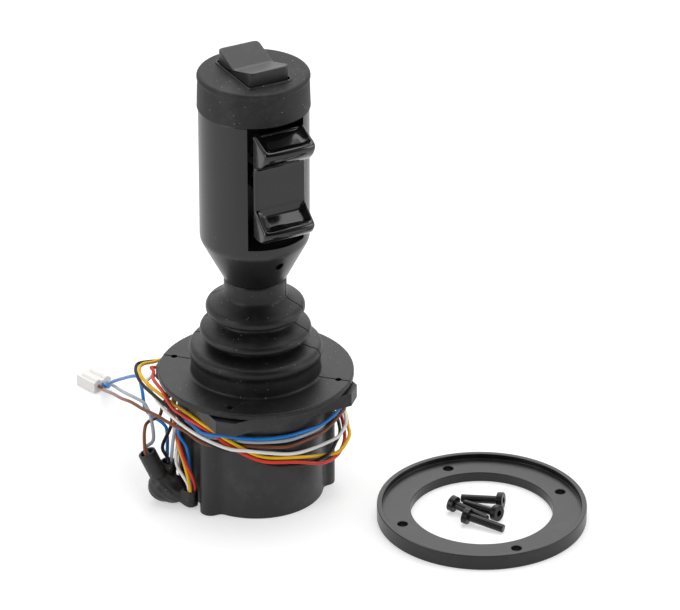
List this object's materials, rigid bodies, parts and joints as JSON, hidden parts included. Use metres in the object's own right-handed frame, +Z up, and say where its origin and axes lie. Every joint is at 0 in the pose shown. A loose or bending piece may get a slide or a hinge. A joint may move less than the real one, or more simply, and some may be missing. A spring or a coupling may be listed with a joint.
{
  "type": "industrial joystick",
  "caption": "Two-axis hand-grip joystick with rubber boot, top rocker, front paddle, square mounting plate, wire harness and loose panel ring with screws.",
  "frame": {"origin": "centre of the housing's flat bottom, which stands on the floor", "axes": "+Z up along the stick, -Y the side of the finger paddle, +X to the operator's right when the paddle faces away from the palm"},
  "size_m": [0.1655, 0.2339, 0.2016],
  "materials": {
    "black_plastic": "satin",
    "black_anodised": "black anodised, satin",
    "dark_screw": "black oxide",
    "circuit_green": "solder mask",
    "steel": "brushed",
    "chip_black": "matte",
    "grey_alloy": "machined",
    "black_rubber": "matte",
    "ring_plastic": "matte",
    "sleeve_black": "matte",
    "plug_white": "satin",
    "brass_contact": "plain",
    "insulation_yellow": "satin",
    "insulation_red": "satin",
    "insulation_black": "satin",
    "insulation_white": "satin",
    "insulation_blue": "satin",
    "insulation_grey": "satin",
    "insulation_brown": "satin",
    "satin_black": "satin",
    "rocker_black": "satin",
    "gloss_black": "gloss"
  },
  "bodies": {
    "base": {"base_housing": "black_plastic", "bottom_cover": "black_plastic", "mounting_plate": "black_anodised", "plate_screws": "dark_screw", "circuit_board": "circuit_green", "board_screws": "steel", "seat_screws": "steel", "hall_sensor": "chip_black", "bearing_frame": "grey_alloy", "spring_seat": "grey_alloy", "wire_grommet": "black_rubber", "boot": "black_rubber", "centering_spring": "steel", "panel_ring": "ring_plastic", "panel_screws": "dark_screw", "splice_sleeve": "sleeve_black", "plug_housing": "plug_white", "plug_contacts": "brass_contact", "wire_yellow": "insulation_yellow", "wire_red": "insulation_red", "wire_black": "insulation_black", "wire_white": "insulation_white", "wire_blue": "insulation_blue", "wire_grey": "insulation_grey", "wire_brown": "insulation_brown", "plug_lead_blue": "insulation_blue", "plug_lead_grey": "insulation_grey", "sleeve_lead_brown": "insulation_brown"},
    "gimbal": {"gimbal_ring": "grey_alloy", "gimbal_pins": "steel"},
    "handle": {"stick_pins": "steel", "stick_shaft": "steel", "paddle_spring": "steel", "set_screw": "steel", "sensing_magnet": "steel", "pivot_block": "grey_alloy", "spring_collar": "grey_alloy", "magnet_holder": "chip_black", "grip_chassis": "chip_black", "grip_shell": "satin_black", "paddle_sensor": "circuit_green", "rubber_cap": "black_rubber", "top_switch_body": "rocker_black", "switch_terminals": "brass_contact"},
    "top_rocker": {"top_rocker": "rocker_black", "rocker_pin": "steel"},
    "paddle": {"paddle_rocker": "gloss_black", "paddle_pin": "steel", "paddle_magnet": "steel"}
  },
  "joints": [
    {"name": "fore_aft_tilt", "type": "hinge", "parent": "base", "child": "gimbal", "pos_m": [0, 0, 0.046], "axis": [1, 0, 0], "range_deg": [-18, 18], "stiffness_Nm_per_rad": 2.5, "deforming": ["boot", "centering_spring"]},
    {"name": "side_tilt", "type": "hinge", "parent": "gimbal", "child": "handle", "pos_m": [0, 0, 0.046], "axis": [0, 1, 0], "range_deg": [-18, 18], "stiffness_Nm_per_rad": 2.5, "deforming": ["boot", "centering_spring"]},
    {"name": "rocker_tilt", "type": "hinge", "parent": "handle", "child": "top_rocker", "pos_m": [0, 0, 0.1938], "axis": [1, 0, 0], "range_deg": [-8, 8], "stiffness_Nm_per_rad": 0.4},
    {"name": "paddle_tilt", "type": "hinge", "parent": "handle", "child": "paddle", "pos_m": [0, -0.01, 0.155], "axis": [1, 0, 0], "range_deg": [-8, 8], "stiffness_Nm_per_rad": 0.6, "deforming": ["paddle_spring"]}
  ]
}
